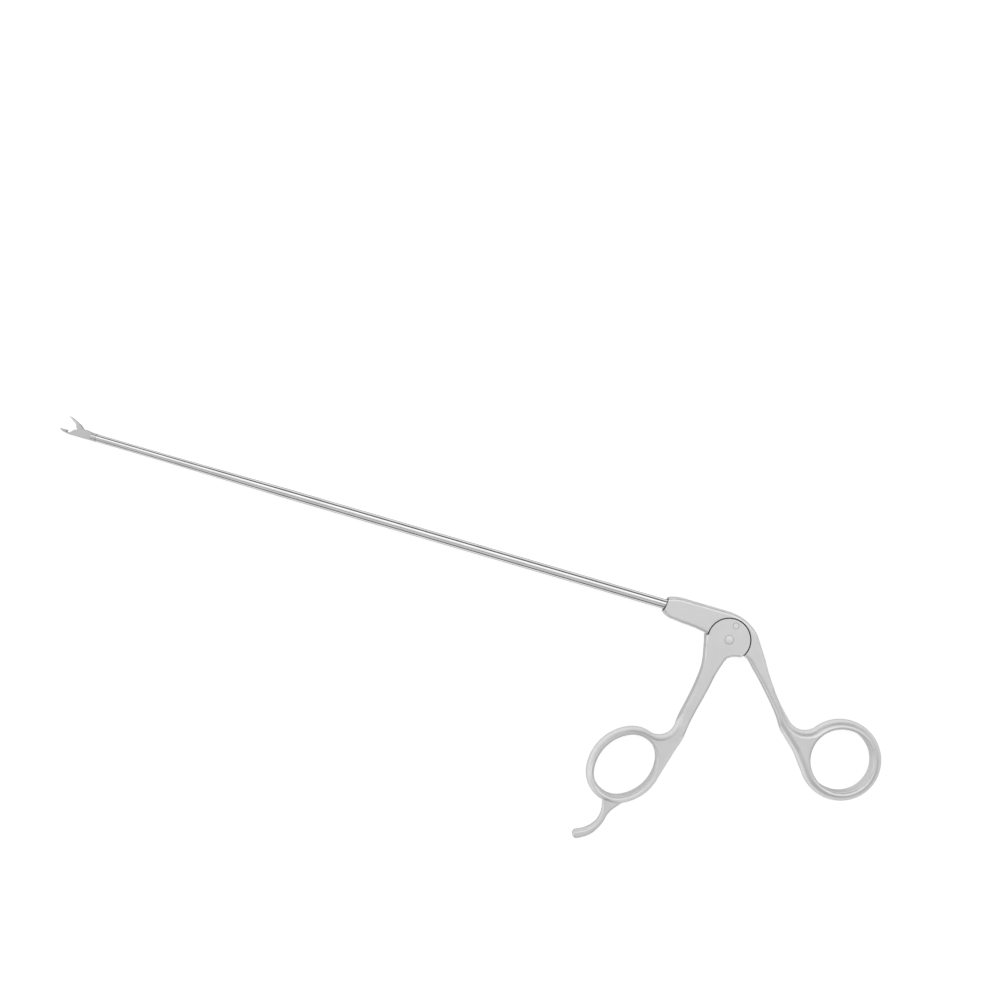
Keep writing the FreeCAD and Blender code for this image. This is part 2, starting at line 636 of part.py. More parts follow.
def make_tube_set_screw():
    low, high = 0.25, MID_Z - FERRULE_R
    x = NOSE_X + SET_SCREW_BACK
    screw = disc(x, SHAFT_Y, SET_SCREW_R, low, high)
    across = 0.7
    corners = [(x + across * math.cos(math.radians(a)), SHAFT_Y + across * math.sin(math.radians(a)))
               for a in range(0, 360, 60)]
    return screw.cut(polygon(corners, low, low + 0.7))


def make_rod_guides():
    guides = []
    for start in GUIDE_PLACES:
        guide = shaft(TUBE_BORE, start, start + GUIDE_L)
        guides.append(guide.cut(shaft(ROD_R + RUN_FIT, start, start + GUIDE_L)))
    return Part.makeCompound(guides)


def taper_mask(rows, low_y, high_y):
    """Prism that narrows a jaw across Z towards its tip: rows of distance from the hinge, half width."""
    left = [at(HINGE_X + x, low_y, MID_Z + w) for x, w in rows]
    right = [at(HINGE_X + x, low_y, MID_Z - w) for x, w in reversed(rows)]
    return Part.Face(Part.makePolygon(left + right + left[:1])).extrude(at(0, high_y - low_y, 0))


def make_lower_jaw():
    """Fixed jaw: shank, round neck, two cheeks, and a barbed beak with a suture notch."""
    top, low = HINGE_DROP + TIP_TUBE_R, HINGE_DROP - TIP_TUBE_R
    back = TUBE_TIP - HINGE_X
    p = [at(HINGE_X + x, HINGE_Y + y) for x, y in [
        (-9.4, 0.52), (-8.7, 0.65), (-6.1, 0.76), (-6.25, -0.1), (-4.7, 0.05), (-3.5, 1.4), (-2.5, 1.85),
        (-0.6, top + 0.1), (back - 1.0, top), (back, top), (back, low), (-3.0, low - 0.1), (-6.0, low + 0.05),
        (-7.9, -0.2)]]
    edges = [line(p[0], p[1]), line(p[1], p[2]), line(p[2], p[3]), line(p[3], p[4]), line(p[4], p[5]),
             line(p[8], p[9]), line(p[9], p[10]), line(p[10], p[11])]
    edges += flow(p[5:9], (p[5] - p[4]).normalize(), heading(0))
    edges += flow(p[11:14] + [p[0]], heading(180), (p[0] - p[13]).normalize())
    half = CHEEK_T / 2
    jaw = plate(edges, MID_Z - half, MID_Z + half)
    jaw = jaw.common(taper_mask([(-9.6, 0.22), (-6.1, 0.95), (-3.2, half), (back, half)],
                                HINGE_Y - 3, HINGE_Y + 4))
    round_start = back - 2.2
    jaw = jaw.fuse(shaft(TIP_TUBE_R, HINGE_X + round_start, TUBE_TIP))
    jaw = jaw.fuse(shaft(SHANK_R, TUBE_TIP, TUBE_TIP + SHANK_L))

    slot_half = SLOT_W / 2
    deep, shallow, floor = -2.4, -6.2, -0.12
    slot = Part.makeBox(SLOT_BACK - deep, 8, SLOT_W, at(HINGE_X + deep, HINGE_Y - 3, MID_Z - slot_half))
    channel = Part.makeBox(deep - shallow, 5, SLOT_W,
                           at(HINGE_X + shallow, HINGE_Y + floor, MID_Z - slot_half))
    holes = [slot, channel, shaft(ROD_R + RUN_FIT, HINGE_X + SLOT_BACK, TUBE_TIP + SHANK_L),
             disc(HINGE_X, HINGE_Y, JAW_PIN_R, 0, HANDLE_T)]
    for hole in holes:
        jaw = jaw.cut(hole)
    return jaw.removeSplitter()


def make_upper_jaw():
    """Moving jaw, drawn closed on the beak and then opened."""
    link = link_place(0.0)
    low, high = MID_Z - JAW_T / 2, MID_Z + JAW_T / 2
    hinge = at(HINGE_X, HINGE_Y)
    p = [hinge + at(x, y) for x, y in [
        (-0.3, -0.6), (-3.8, 0.42), (-5.0, 0.98), (-6.9, 0.86), (-8.2, 0.86), (-9.5, 0.72), (-8.3, 1.35),
        (-6.6, 1.75), (-4.8, 2.1), (-3.5, 2.36), (-2.1, 2.3)]]
    top = hinge + at(link.x, link.y + LINK_LOBE_R)
    edges = [line(p[0], p[1]), line(p[4], p[5]), line(p[5], p[6]), line(top, hinge), line(hinge, p[0])]
    edges += flow(p[1:5], (p[1] - p[0]).normalize(), heading(180))
    edges += flow(p[6:11] + [top], (p[7] - p[6]).normalize(), (top - p[10]).normalize())
    jaw = plate(edges, low, high)
    jaw = jaw.common(taper_mask([(-9.7, 0.16), (-6.0, 0.62), (-4.6, JAW_T / 2), (2.0, JAW_T / 2)],
                                HINGE_Y - 3, HINGE_Y + 4))
    jaw = jaw.fuse(disc(HINGE_X, HINGE_Y, JAW_HUB_R, low, high))

    # tail: the hub and the link lobe joined by their outer tangents
    away = at(link.x, link.y).normalize()
    across = at(-away.y, away.x)
    lobe = hinge + link
    tail = [hinge + across * JAW_HUB_R, lobe + across * LINK_LOBE_R, lobe - across * LINK_LOBE_R,
            hinge - across * JAW_HUB_R]
    jaw = jaw.fuse(polygon([(v.x, v.y) for v in tail], low, high))
    jaw = jaw.fuse(disc(lobe.x, lobe.y, LINK_LOBE_R, low, high))
    room = disc(lobe.x, lobe.y, LINK_REACH - JAW_HUB_R + 0.1, MID_Z - JAW_GAP, HANDLE_T)
    room = room.fuse(Part.makeBox(2, 2, HANDLE_T, at(lobe.x, hinge.y + JAW_HUB_R * 0.5, MID_Z - JAW_GAP)))
    jaw = jaw.cut(room.cut(disc(HINGE_X, HINGE_Y, JAW_HUB_R, 0, 2 * HANDLE_T)))
    jaw = jaw.cut(disc(lobe.x, lobe.y, LINK_PIN_R, 0, HANDLE_T))
    jaw = jaw.cut(disc(HINGE_X, HINGE_Y, JAW_PIN_R + RUN_FIT, 0, HANDLE_T))
    return turned(jaw.removeSplitter(), -JAW_SWING, hinge)


def make_jaw_pivot_pin():
    half = CHEEK_T / 2
    return disc(HINGE_X, HINGE_Y, JAW_PIN_R, MID_Z - half, MID_Z + half)


def make_link_pin():
    pin = link_place(1.0)
    half = JAW_T / 2
    return disc(HINGE_X + pin.x, HINGE_Y + pin.y, LINK_PIN_R, MID_Z - half, MID_Z + half)


PIECES = {
    "rear_handle": make_rear_handle,
    "front_handle": make_front_handle,
    "pivot_screw": make_pivot_screw,
    "pivot_nut": make_pivot_nut,
    "pivot_washer": make_pivot_washer,
    "handle_stop_pin": make_handle_stop_pin,
    "drive_pin": make_drive_pin,
    "drive_bush": make_drive_bush,
    "rod_head": make_rod_head,
    "rod_lock_nut": make_rod_lock_nut,
    "actuating_rod": make_actuating_rod,
    "rod_guide_bushes": make_rod_guides,
    "outer_tube": make_outer_tube,
    "tube_ferrule": make_tube_ferrule,
    "tube_set_screw": make_tube_set_screw,
    "rod_seal": make_rod_seal,
    "lower_jaw": make_lower_jaw,
    "upper_jaw": make_upper_jaw,
    "jaw_pivot_pin": make_jaw_pivot_pin,
    "link_pin": make_link_pin,
}


def main():
    os.makedirs("parts", exist_ok=True)
    for name, make in PIECES.items():
        shape = make()
        shape.exportStep(f"parts/{name}.step")
        box = shape.BoundBox
        print(name, "valid", shape.isValid(), "solids", len(shape.Solids), "volume", round(shape.Volume, 2),
              "z", round(box.ZMin, 2), round(box.ZMax, 2))
    print("handle swing", round(HANDLE_SWING, 3), "rod travel", round(ROD_TRAVEL, 4))


main()
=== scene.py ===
"""Looks of a ring-handled suture grasper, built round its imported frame.

All lengths are in metres. The shaft runs along X with the jaws towards -X, the rings hang
towards -Y, and the instrument lies on its side on the floor at z = 0.
"""

import logging
import math
from collections.abc import Sequence
from dataclasses import dataclass, field
from enum import Enum

import bmesh
import bpy
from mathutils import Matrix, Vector

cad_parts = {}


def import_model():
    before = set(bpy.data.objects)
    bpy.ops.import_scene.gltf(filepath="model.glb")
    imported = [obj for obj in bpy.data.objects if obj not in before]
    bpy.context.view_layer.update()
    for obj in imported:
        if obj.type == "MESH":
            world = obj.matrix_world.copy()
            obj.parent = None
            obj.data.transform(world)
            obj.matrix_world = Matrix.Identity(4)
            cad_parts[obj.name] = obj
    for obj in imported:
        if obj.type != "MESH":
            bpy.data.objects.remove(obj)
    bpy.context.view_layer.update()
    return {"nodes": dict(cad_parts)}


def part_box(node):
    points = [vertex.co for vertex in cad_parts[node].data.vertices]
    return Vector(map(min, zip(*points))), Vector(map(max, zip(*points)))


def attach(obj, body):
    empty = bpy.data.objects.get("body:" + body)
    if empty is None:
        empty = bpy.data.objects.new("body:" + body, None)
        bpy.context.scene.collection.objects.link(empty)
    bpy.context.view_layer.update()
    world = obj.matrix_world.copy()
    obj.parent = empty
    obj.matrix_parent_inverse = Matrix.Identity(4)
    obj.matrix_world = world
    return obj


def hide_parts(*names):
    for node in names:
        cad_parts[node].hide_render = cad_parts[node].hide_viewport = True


LOG = logging.getLogger("suture_grasper")
MM = 0.001

Colour = tuple[float, float, float]
Profile = list[tuple[float, float]]


class Grain(Enum):
    """How the marks of the last grinding or blasting run over a surface."""

    BLASTED = "blasted"
    LENGTHWISE = "lengthwise"
    TURNED = "turned"


class Body(Enum):
    """The bodies of the frame that new pieces ride on."""

    FRAME = "frame"


@dataclass
class NodeSheet:
    """A small helper that places shader nodes and wires them up.

    Args:
        tree: The node tree to fill.
        column: How many nodes it has placed so far.
    """

    tree: bpy.types.NodeTree
    column: int = 0

    def add(self, kind: str, **values: object) -> bpy.types.Node:
        """Adds a node and sets its plain properties.

        Args:
            kind: The node's type, without the leading "ShaderNode".
            **values: Properties of the node by name.

        Returns:
            The new node.
        """
        node = self.tree.nodes.new("ShaderNode" + kind)
        node.location = (self.column * 200, 0)
        self.column += 1
        for name, value in values.items():
            setattr(node, name, value)
        return node

    def link(self, source: bpy.types.NodeSocket, target: bpy.types.NodeSocket) -> None:
        """Wires one socket to another."""
        self.tree.links.new(source, target)

    def math(self, operation: str, first: bpy.types.NodeSocket | float,
             second: bpy.types.NodeSocket | float = 0.0) -> bpy.types.NodeSocket:
        """Adds one step of arithmetic.

        Args:
            operation: The name of the operation.
            first: A socket or a plain number.
            second: A socket or a plain number.

        Returns:
            The socket with the result.
        """
        node = self.add("Math", operation=operation)
        for value, socket in zip((first, second), node.inputs):
            if isinstance(value, bpy.types.NodeSocket):
                self.link(value, socket)
            else:
                socket.default_value = value
        return node.outputs["Value"]

    def product(self, first: bpy.types.NodeSocket, *others: bpy.types.NodeSocket | float) -> bpy.types.NodeSocket:
        """Multiplies values and returns the socket with the product."""
        for other in others:
            first = self.math("MULTIPLY", first, other)
        return first

    def near(self, value: bpy.types.NodeSocket, middle: float, half: float) -> bpy.types.NodeSocket:
        """Returns a socket that is 1 where the value lies within a half width of the middle."""
        inside = self.math("COMPARE", value, middle)
        inside.node.inputs[2].default_value = half
        return inside

    def reach(self, first: bpy.types.NodeSocket, second: bpy.types.NodeSocket,
              point: Sequence[float]) -> bpy.types.NodeSocket:
        """Adds the distance from a point in the plane of two coordinates.

        Args:
            first: One coordinate.
            second: The other coordinate.
            point: The point. Only its first two numbers count.

        Returns:
            The socket with the distance.
        """
        squares = [self.math("POWER", self.math("SUBTRACT", value, middle), 2.0)
                   for value, middle in zip((first, second), point)]
        return self.math("SQRT", self.math("ADD", *squares))

    def ramp(self, source: bpy.types.NodeSocket, stops: list[tuple[float, float]]) -> bpy.types.NodeSocket:
        """Adds a ramp of greys.

        Args:
            source: The value that is looked up.
            stops: Places from 0 to 1, each with its grey.

        Returns:
            The socket with the grey.
        """
        node = self.add("ValToRGB")
        elements = node.color_ramp.elements
        elements[0].position, elements[1].position = stops[0][0], stops[-1][0]
        for place, _ in stops[1:-1]:
            elements.new(place)
        for element, (_, grey) in zip(elements, stops):
            element.color = (grey, grey, grey, 1.0)
        self.link(source, node.inputs["Fac"])
        return node.outputs["Color"]

    def noise(self, place: bpy.types.NodeSocket, scale: float, detail: float = 3.0) -> bpy.types.NodeSocket:
        """Adds a noise texture.

        Args:
            place: The coordinates it reads.
            scale: Its scale.
            detail: How many finer octaves it has.

        Returns:
            The socket with its grey value.
        """
        node = self.add("TexNoise")
        node.inputs["Scale"].default_value = scale
        node.inputs["Detail"].default_value = detail
        self.link(place, node.inputs["Vector"])
        return node.outputs["Fac"]

    def remap(self, source: bpy.types.NodeSocket, low: float, high: float,
              start: float = 0.3, end: float = 0.7) -> bpy.types.NodeSocket:
        """Stretches a grey value from one range to another.

        Args:
            source: The grey value.
            low: What the start becomes.
            high: What the end becomes.
            start: The value that becomes low.
            end: The value that becomes high.

        Returns:
            The socket with the new value.
        """
        node = self.add("MapRange")
        node.inputs["From Min"].default_value = start
        node.inputs["From Max"].default_value = end
        node.inputs["To Min"].default_value = low
        node.inputs["To Max"].default_value = high
        self.link(source, node.inputs["Value"])
        return node.outputs["Result"]

    def mix(self, share: bpy.types.NodeSocket, first: Colour, second: Colour) -> bpy.types.NodeSocket:
        """Mixes two colours.

        Args:
            share: How much of the second colour shows.
            first: The first colour.
            second: The second colour.

        Returns:
            The socket with the mixed colour.
        """
        node = self.add("Mix", data_type="RGBA")
        node.inputs["A"].default_value = (*first, 1.0)
        node.inputs["B"].default_value = (*second, 1.0)
        self.link(share, node.inputs["Factor"])
        return node.outputs["Result"]


@dataclass(frozen=True)
class PaintedGapShade:
    """Painted shade in the narrow gaps of the forgings: round the hub, in the mouth round the tube, and as thin
    lines round the pins.

    Args:
        hub_radius: Middle radius of the gap round the hub.
        hub_half: Half the width of that gap.
        wall_height: Middle height of its walls.
        wall_half: Half the height of its walls.
        arm_slope: Slope of the line below which the front arm leaves the hub.
        arm_level: Where that line passes the pivot.
        shaft: Y and Z of the shaft's axis.
        mouth_radius: Radius of the mouth round the tube.
        mouth_end: Where the mouth ends along X.
        face_height: Height above which only the hub's face lies.
        pins: Nodes whose ends show in the hub's face.
        pin_offset: From a pin's edge to the middle of the painted shade line round it.
        pin_half: Half the width of that line.
        pin_shade: How much darker that line is, as a share.
        shade: How much the painted shade darkens the hub's gap and the tube's mouth, as a share.
    """

    hub_radius: float = 8.66 * MM
    hub_half: float = 0.25 * MM
    wall_height: float = 5.7 * MM
    wall_half: float = 1.95 * MM
    arm_slope: float = -0.349
    arm_level: float = -3.17 * MM
    shaft: tuple[float, float] = (6.34 * MM, 3.8 * MM)
    mouth_radius: float = 2.62 * MM
    mouth_end: float = -26.0 * MM
    face_height: float = 7.4 * MM
    pins: tuple[str, ...] = ("pivot_screw", "drive_pin")
    pin_offset: float = 0.1 * MM
    pin_half: float = 0.12 * MM
    pin_shade: float = 0.5
    shade: float = 0.92

    def gain(self, sheet: NodeSheet, place: bpy.types.NodeSocket) -> bpy.types.NodeSocket:
        """Adds the nodes that paint shade into the gaps and round the pins.

        Args:
            sheet: The sheet that takes the nodes.
            place: The coordinates that they read.

        Returns:
            The socket with a share that is low where shade is painted, and 1 elsewhere.
        """
        split = sheet.add("SeparateXYZ")
        sheet.link(place, split.inputs["Vector"])
        x, y, z = (split.outputs[axis] for axis in "XYZ")
        # Painted shade on the walls of the gap round the hub, above the line where the front arm leaves it.
        in_ring = sheet.near(sheet.reach(x, y, (0.0, 0.0)), self.hub_radius, self.hub_half)
        on_wall = sheet.near(z, self.wall_height, self.wall_half)
        over_line = sheet.math("SUBTRACT", y, sheet.product(x, self.arm_slope))
        above_arm = sheet.math("GREATER_THAN", over_line, self.arm_level)
        hub = sheet.product(in_ring, on_wall, above_arm)
        # Painted shade in the mouth round the tube.
        in_mouth = sheet.math("LESS_THAN", sheet.reach(y, z, self.shaft), self.mouth_radius)
        mouth = sheet.product(in_mouth, sheet.math("LESS_THAN", x, self.mouth_end))
        share = sheet.product(sheet.math("MAXIMUM", hub, mouth), self.shade)
        on_face = sheet.math("GREATER_THAN", z, self.face_height)
        # Painted shade lines round the ends of the pins in the hub's face.
        for name in self.pins:
            low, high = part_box(name)
            middle, radius = (low + high) / 2, (high.x - low.x) / 2
            line = sheet.near(sheet.reach(x, y, middle), radius + self.pin_offset, self.pin_half)
            share = sheet.math("MAXIMUM", share, sheet.product(line, on_face, self.pin_shade))
        return sheet.math("SUBTRACT", 1.0, share)


@dataclass(frozen=True)
class MetalFinish:
    """A metal surface with its grain, its cloudy tone, its fine relief, and painted highlight and shade on its
    ridges and in its gaps.

    Args:
        name: The material's name.
        colour: Its reflectance.
        roughness: Its middle roughness.
        grain: How the grinding marks run.
        pitch: Distance between the marks.
        spread: How far the roughness strays from its middle.
        relief: Height of the marks.
        cloud: How much darker the cloudy patches are, as a share.
        stretch: How much longer than wide the marks are.
        rim: What it reflects at a flat angle.
        edge_wear_and_painted_light: How much brighter its ridges are, as rubbed bright edges and painted
            highlight; below 0, painted shade that darkens them.
        gaps: The painted shade of its gaps, if it has any.
        cloud_size: Size of the cloudy patches.
        cloud_rough: How much the patches count in the roughness, against the marks.
        ridge: Radius within which an edge counts as a ridge, for its rubbed brightening and its painted highlight
            or shade.
    """

    name: str
    colour: Colour
    roughness: float
    grain: Grain
    pitch: float
    spread: float = 0.08
    relief: float = 2e-6
    cloud: float = 0.08
    stretch: float = 60.0
    rim: float = 0.8
    edge_wear_and_painted_light: float = 0.0
    gaps: PaintedGapShade | None = None
    cloud_size: float = 9 * MM
    cloud_rough: float = 0.35
    ridge: float = 0.3 * MM

    def build(self, centre: Vector | None = None) -> bpy.types.Material:
        """Makes the material.

        Args:
            centre: The middle of turned marks, in the object's own space.

        Returns:
            The material.
        """
        material = bpy.data.materials.new(self.name)
        material.use_nodes = True
        sheet = NodeSheet(material.node_tree)
        shader = material.node_tree.nodes["Principled BSDF"]
        shader.inputs["Metallic"].default_value = 1.0
        place = sheet.add("TexCoord").outputs["Object"]
        marks = self._marks(sheet, place, centre or Vector())
        clouds = sheet.noise(place, 1 / self.cloud_size, 4.0)
        shade = tuple(c * (1 - self.cloud) for c in self.colour)
        tone = sheet.mix(sheet.remap(clouds, 0.0, 1.0), shade, self.colour)
        sheet.link(self._toned(sheet, tone, place), shader.inputs["Base Color"])
        shader.inputs["Specular Tint"].default_value = (self.rim, self.rim, self.rim, 1.0)
        mixed = sheet.math("ADD", sheet.product(clouds, self.cloud_rough), marks)
        low, high = self.roughness - self.spread, self.roughness + self.spread
        sheet.link(sheet.remap(mixed, low, high, 0.4, 0.95), shader.inputs["Roughness"])
        bump = sheet.add("Bump")
        bump.inputs["Distance"].default_value = self.relief
        bump.inputs["Strength"].default_value = 1.0
        sheet.link(marks, bump.inputs["Height"])
        sheet.link(bump.outputs["Normal"], shader.inputs["Normal"])
        return material

    def _toned(self, sheet: NodeSheet, tone: bpy.types.NodeSocket,
               place: bpy.types.NodeSocket) -> bpy.types.NodeSocket:
        """Brightens the ridges with rubbing and painted highlight, or paints shade on them, paints shade into the
        gaps, and returns the colour.
        """
        gain = None
        # Ridges: rubbed bright edges plus painted highlight, or painted shade along them where the value is below
        # 0.
        if self.edge_wear_and_painted_light != 0:
            soft = sheet.add("Bevel")
            soft.inputs["Radius"].default_value = self.ridge
            turn = sheet.add("VectorMath", operation="DOT_PRODUCT")
            sheet.link(soft.outputs["Normal"], turn.inputs[0])
            sheet.link(sheet.add("NewGeometry").outputs["Normal"], turn.inputs[1])
            gain = sheet.remap(turn.outputs["Value"], 1.0 + self.edge_wear_and_painted_light, 1.0, 0.92, 0.995)
        # Painted shade in the gaps and round the pins.
        if self.gaps is not None:
            dark = self.gaps.gain(sheet, place)
            gain = dark if gain is None else sheet.product(gain, dark)
        if gain is None:
            return tone
        scale = sheet.add("VectorMath", operation="SCALE")
        sheet.link(tone, scale.inputs["Vector"])
        sheet.link(gain, scale.inputs["Scale"])
        return scale.outputs["Vector"]

    def _marks(self, sheet: NodeSheet, place: bpy.types.NodeSocket, centre: Vector) -> bpy.types.NodeSocket:
        """Adds the texture of the marks and returns its grey value."""
        mapping = sheet.add("Mapping")
        sheet.link(place, mapping.inputs["Vector"])
        if self.grain is Grain.TURNED:
            mapping.inputs["Location"].default_value = -centre
            rings = sheet.add("TexWave", wave_type="RINGS", rings_direction="Z")
            rings.inputs["Scale"].default_value = 0.05 / self.pitch
            rings.inputs["Distortion"].default_value = 1.5
            rings.inputs["Detail"].default_value = 3.0
            sheet.link(mapping.outputs["Vector"], rings.inputs["Vector"])
            return rings.outputs["Fac"]
        if self.grain is Grain.LENGTHWISE:
            mapping.inputs["Scale"].default_value = (1 / self.stretch, 1.0, 1.0)
        return sheet.noise(mapping.outputs["Vector"], 1 / self.pitch)


@dataclass(frozen=True)
class MouldedFinish:
    """A plain moulded plastic with a faint grain.

    Args:
        name: The material's name.
        colour: Its colour.
        roughness: Its middle roughness.
        spread: How far the roughness strays from its middle.
        grain_size: Size of the grain.
        cloud: How much darker the low parts of the grain are, as a share.
    """

    name: str
    colour: Colour
    roughness: float
    spread: float = 0.06
    grain_size: float = 0.4 * MM
    cloud: float = 0.08

    def build(self) -> bpy.types.Material:
        """Makes the material and returns it."""
        material = bpy.data.materials.new(self.name)
        material.use_nodes = True
        sheet = NodeSheet(material.node_tree)
        shader = material.node_tree.nodes["Principled BSDF"]
        place = sheet.add("TexCoord").outputs["Object"]
        grain = sheet.noise(place, 1 / self.grain_size)
        darker = tuple(c * (1 - self.cloud) for c in self.colour)
        sheet.link(sheet.mix(sheet.remap(grain, 0.0, 1.0), darker, self.colour), shader.inputs["Base Color"])
        low, high = self.roughness - self.spread, self.roughness + self.spread
        sheet.link(sheet.remap(grain, low, high), shader.inputs["Roughness"])
        return material


# The forgings get painted highlight on their ridges, with rubbed edges, and painted shade in the gaps round the
# hub, the tube's mouth and the pins.
FORGED = MetalFinish("forged_satin_steel", (0.80, 0.80, 0.803), 0.46, Grain.BLASTED, 0.12 * MM,
                     relief=3e-6, cloud=0.05, rim=0.25, edge_wear_and_painted_light=0.2, gaps=PaintedGapShade())
FLUSH_STEEL = MetalFinish("flush_satin_steel", (0.84, 0.84, 0.842), 0.38, Grain.BLASTED, 0.1 * MM,
                          relief=2e-6, cloud=0.04, rim=0.4)
POLISHED_TUBE = MetalFinish("polished_tube_steel", (0.72, 0.72, 0.725), 0.14, Grain.LENGTHWISE, 0.06 * MM,
                            spread=0.04, relief=1e-6, cloud=0.10, rim=0.22)
# The jaws get painted shade along their edges.
JAW_STEEL = MetalFinish("ground_jaw_steel", (0.66, 0.66, 0.665), 0.30, Grain.LENGTHWISE, 0.05 * MM,
                        relief=1.5e-6, stretch=14.0, rim=0.2, edge_wear_and_painted_light=-0.3)
BLACK_STEEL = MetalFinish("blackened_steel", (0.05, 0.05, 0.052), 0.45, Grain.TURNED, 0.1 * MM, rim=0.2)
TURNED_STEEL = MetalFinish("turned_steel", (0.72, 0.72, 0.725), 0.24, Grain.TURNED, 0.1 * MM, relief=1.5e-6)
BRIGHT_STEEL = MetalFinish("bright_rod_steel", (0.78, 0.78, 0.785), 0.16, Grain.LENGTHWISE, 0.05 * MM,
                           spread=0.05, relief=1e-6)
BRONZE = MetalFinish("bearing_bronze", (0.62, 0.42, 0.22), 0.32, Grain.TURNED, 0.1 * MM)
GUIDE_PLASTIC = MouldedFinish("guide_plastic", (0.78, 0.74, 0.64), 0.45)
SEAL_RUBBER = MouldedFinish("seal_rubber", (0.03, 0.03, 0.03), 0.6)


def finish_object(name: str, mesh: bmesh.types.BMesh, material: bpy.types.Material,
                  body: Body, sharp: float = 35.0) -> bpy.types.Object:
    """Turns a finished mesh into a piece that rides on a body.

    Args:
        name: The piece's name.
        mesh: The mesh, in the row frame. It is freed.
        material: Its material.
        body: The body that it rides on.
        sharp: Edges that turn by more than this many degrees stay sharp.

    Returns:
        The new object.
    """
    for face in mesh.faces:
        face.smooth = True
    for edge in mesh.edges:
        edge.smooth = len(edge.link_faces) < 2 or edge.calc_face_angle(0.0) < math.radians(sharp)
    data = bpy.data.meshes.new(name)
    mesh.to_mesh(data)
    mesh.free()
    data.materials.append(material)
    piece = bpy.data.objects.new(name, data)
    bpy.context.scene.collection.objects.link(piece)
    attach(piece, body.value)
    LOG.info("built %s with %d faces on %s", name, len(data.polygons), body.value)
    return piece


def turned_mesh(profile: Profile, centre: Vector, axis: Vector, steps: int) -> bmesh.types.BMesh:
    """Spins a closed profile into a round solid.

    Args:
        profile: Points of distance along the axis and radius, in order round the section.
        centre: The point of the axis where the distance is zero.
        axis: Direction of the axis.
        steps: Number of facets round the axis.

    Returns:
        The mesh, with its faces pointing outwards.
    """
    mesh = bmesh.new()
    side = axis.orthogonal().normalized()
    corners = [mesh.verts.new(centre + axis * along + side * radius) for along, radius in profile]
    edges = [mesh.edges.new(pair) for pair in zip(corners, corners[1:] + corners[:1])]
    bmesh.ops.spin(mesh, geom=corners + edges, cent=centre, axis=axis, angle=math.tau,
                   steps=steps, use_merge=True)
    bmesh.ops.remove_doubles(mesh, verts=mesh.verts, dist=1e-7)
    bmesh.ops.recalc_face_normals(mesh, faces=mesh.faces)
    return mesh


def rounded(start: tuple[float, float], corner: tuple[float, float], end: tuple[float, float],
            steps: int = 5) -> Profile:
    """Rounds a profile's corner with a curve that meets both sides.

    Args:
        start: Where the rounding begins.
        corner: The sharp corner.
        end: Where the rounding ends.
        steps: Number of facets.

    Returns:
        The points of the rounding, both ends included.
    """
    a, b, c = Vector(start), Vector(corner), Vector(end)
    points = []
    for k in range(steps + 1):
        t = k / steps
        point = a * (1 - t) ** 2 + b * 2 * t * (1 - t) + c * t ** 2
        points.append((point.x, point.y))
    return points


@dataclass
class Handles:
    """The two forged handle halves with the hardware of their pivot.

    Args:
        nodes: The frame's objects by name.
    """

    nodes: dict[str, bpy.types.Object]

    def build(self) -> None:
        """Dresses the forgings, the pivot's hardware, the drive pin and the stop pin."""
        for name in ("rear_handle", "front_handle"):
            dress(self.nodes[name], FORGED.build())
        for name in ("pivot_screw", "drive_pin"):
            dress(self.nodes[name], FLUSH_STEEL.build())
        for name in ("pivot_nut", "handle_stop_pin"):
            low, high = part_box(name)
            dress(self.nodes[name], TURNED_STEEL.build((low + high) / 2))
        for name in ("pivot_washer", "drive_bush"):
            low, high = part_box(name)
            dress(self.nodes[name], BRONZE.build((low + high) / 2))


